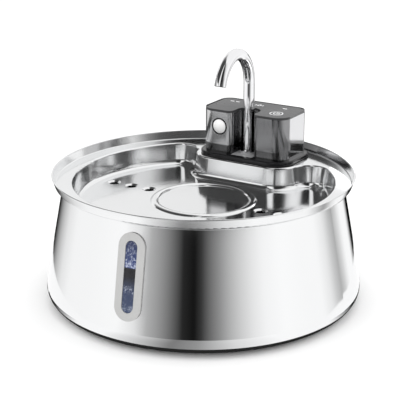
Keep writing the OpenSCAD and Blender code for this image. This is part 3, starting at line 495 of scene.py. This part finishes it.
def tent(name, rings, stops):
    """Round screen of light: rings are (radius, height) from one edge to the other."""
    mesh = bpy.data.meshes.new(name)
    o = new_object(name, mesh)
    verts = [(r * math.cos(2 * math.pi * k / TENT_STEPS), r * math.sin(2 * math.pi * k / TENT_STEPS), z)
             for r, z in rings for k in range(TENT_STEPS)]
    faces = []
    for i in range(len(rings) - 1):
        this, beyond = i * TENT_STEPS, (i + 1) * TENT_STEPS
        for k in range(TENT_STEPS):
            after = (k + 1) % TENT_STEPS
            faces.append((this + k, this + after, beyond + after, beyond + k))
    mesh.from_pydata(verts, [], faces)
    mesh.materials.append(light_round(name + "_light", stops))
    o.rotation_euler.z = math.radians(AZIMUTH - 90)
    only_reflected(o)


# From under the floor's level to a little above the object: seen in the bowl's wall
LOW = [(-180, 0), (-156, 0.02), (-150, 0.12), (-135, 0.52), (-124, 0.78), (-110, 0.93), (-60, 0.97),
       (-46, 0.77), (-38, 0.44), (-28, 0.27), (-20, 0.12), (-14, 0.02), (-6, 0.006), (-1, 0.04), (5, 0.16),
       (11, 0.28), (17, 0.43), (25, 0.62), (34, 0.80), (42, 0.92), (56, 0.98), (90, 0.96), (100, 0.82),
       (107, 0.6), (115, 0.27), (123, 0.75), (130, 0.95), (141, 0.95), (147, 0.4), (151, 0), (180, 0)]
# From there to 25 degrees up
HIGH = [(-180, 0.82), (-150, 0.9), (-134, 0.95), (-127, 0.05), (-115, 0.05), (-110, 0.45), (-84, 0.6),
        (-70, 0.95), (-64, 0.98), (-57, 0.8), (-50, 0.45), (-42, 0.14), (-25, 0.07), (25, 0.07), (38, 0.10),
        (48, 0.25), (60, 0.65), (75, 0.95), (150, 0.9), (180, 0.82)]
# Above that, and over the object
UPPER = [(-180, 0.9), (-168, 0.85), (-150, 0.2), (-135, 0.06), (-75, 0.05), (-42, 0.04), (-36, 0.9),
         (-16, 0.9), (-9, 0.03), (0, 0.02), (28, 0.03), (40, 0.12), (56, 0.7), (80, 0.9), (180, 0.9)]
# On the floor close round the bowl, then right beside it, where it is darker at both sides
FRONT_OF_FOOT = [(-40, 0.97), (-22, 0.5), (-12, 0.2), (-2, 0.3), (12, 0.7), (30, 0.97)]
NEAR = [(-180, 0.93), (-150, 0.93), *FRONT_OF_FOOT, (180, 0.93)]
SIDE_OF_FOOT = [(54, 0.95), (64, 0.4), (74, 0.03), (112, 0.03), (120, 0.3), (130, 0.9), (180, 0.93)]
FOOT = [(-beta, v) for beta, v in reversed(SIDE_OF_FOOT)] + FRONT_OF_FOOT + SIDE_OF_FOOT
# Under the bowl
CONTACT = [(-180, 0.02), (180, 0.02)]

TENT_R = 1.8
TENT_FOOT = -1.4
HIGH_FROM = 0.15
UPPER_FROM = 0.95
TENT_TOP = [(1.5, 1.6), (1.0, 2.1), (0.4, 2.35), (0.01, 2.4)]
CONTACT_R = 0.1
FOOT_R = 0.132
NEAR_R = 0.143
NEAR_END = 0.205
NEAR_Z = 0.001
CONTACT_Z = 0.0012

floor_paint = surface("floor_paint", (0.93, 0.93, 0.93), 0.9, vary=0.01, scale=2, grain=20, grain_h=0.0,
                      specular=0.1)
floor = plane("floor", (8, 8), (0, 0, 0), (0, 0, 0), floor_paint)
floor.visible_glossy = False
tent("tent_low", [(TENT_R, TENT_FOOT), (TENT_R, HIGH_FROM)], LOW)
tent("tent_high", [(TENT_R, HIGH_FROM), (TENT_R, UPPER_FROM)], HIGH)
tent("tent_upper", [(TENT_R, UPPER_FROM), *TENT_TOP], UPPER)
tent("tent_near", [(NEAR_R, NEAR_Z), (NEAR_END, NEAR_Z)], NEAR)
tent("tent_foot", [(FOOT_R, NEAR_Z), (NEAR_R, NEAR_Z)], FOOT)
tent("tent_contact", [(CONTACT_R, CONTACT_Z), (FOOT_R, CONTACT_Z)], CONTACT)

# Upright card behind the object, for the shine on the housing's right end
CARD_SIZE = (0.042, 0.026)
CARD_AT = (0.0676, 0.1276, 0.1195)
CARD_TURN = (math.radians(90), 0, math.radians(AZIMUTH - 63))
card_light = light_round("side_card_light", [(-180, 1), (180, 1)], 2.6)
card = plane("side_card", CARD_SIZE, CARD_AT, CARD_TURN, card_light)
only_reflected(card)


# ---- Lamps ----

LAMPS_AIM = Vector((0, 0, 0.08))


def direction(round_from_front, elevation):
    """Unit vector from the object, by degrees round from the camera's side and up."""
    a, e = math.radians(AZIMUTH + round_from_front), math.radians(elevation)
    return Vector((math.sin(a) * math.cos(e), -math.cos(a) * math.cos(e), math.sin(e)))


def area(name, round_from_front, elevation, distance, size, power):
    """Rectangular lamp that looks at the object and that reflections don't show."""
    light = bpy.data.lights.new(name, "AREA")
    light.shape = "RECTANGLE"
    light.size, light.size_y = size
    light.energy = power
    o = new_object(name, light)
    towards = direction(round_from_front, elevation)
    o.location = LAMPS_AIM + towards * distance
    o.rotation_mode = "QUATERNION"
    o.rotation_quaternion = towards.to_track_quat("Z", "Y")
    o.visible_glossy = False


area("key", -70, 40, 1.6, (0.9, 0.9), 3.5)
area("front", 5, 22, 1.6, (1.2, 0.5), 3)
area("fill", 80, 35, 1.6, (0.9, 0.9), 3)
area("top", 0, 88, 1.5, (1.1, 1.1), 3.5)

world = bpy.data.worlds.new("studio")
scene.world = world
world.use_nodes = True
background = world.node_tree.nodes["Background"]
background.inputs["Color"].default_value = (1, 1, 1, 1)
background.inputs["Strength"].default_value = 1.05


# ---- Camera ----

IMAGE_PX = 400
FOCAL_PX = 1211.76
SENSOR = 36
ELEVATION = 20.304
DISTANCE = 1.02208
ON_AXIS = Vector((0, 0, 0.0515))   # a point on the bowl's axis
ON_AXIS_PX = (203.455, 235.63)   # where that point lies in the image

camera = bpy.data.cameras.new("camera")
camera.sensor_width = SENSOR
camera.lens = FOCAL_PX / IMAGE_PX * SENSOR
camera.clip_start, camera.clip_end = 0.05, 50
cam = new_object("camera", camera)
scene.camera = cam
back = direction(0, ELEVATION)
right = Vector((math.cos(math.radians(AZIMUTH)), math.sin(math.radians(AZIMUTH)), 0))
up = right.cross(-back)
aim = -back * FOCAL_PX + right * (IMAGE_PX / 2 - ON_AXIS_PX[0]) + up * (ON_AXIS_PX[1] - IMAGE_PX / 2)
cam.location = ON_AXIS + back * DISTANCE
cam.rotation_mode = "QUATERNION"
cam.rotation_quaternion = aim.to_track_quat("-Z", "Y")

scene.view_settings.view_transform = "Standard"
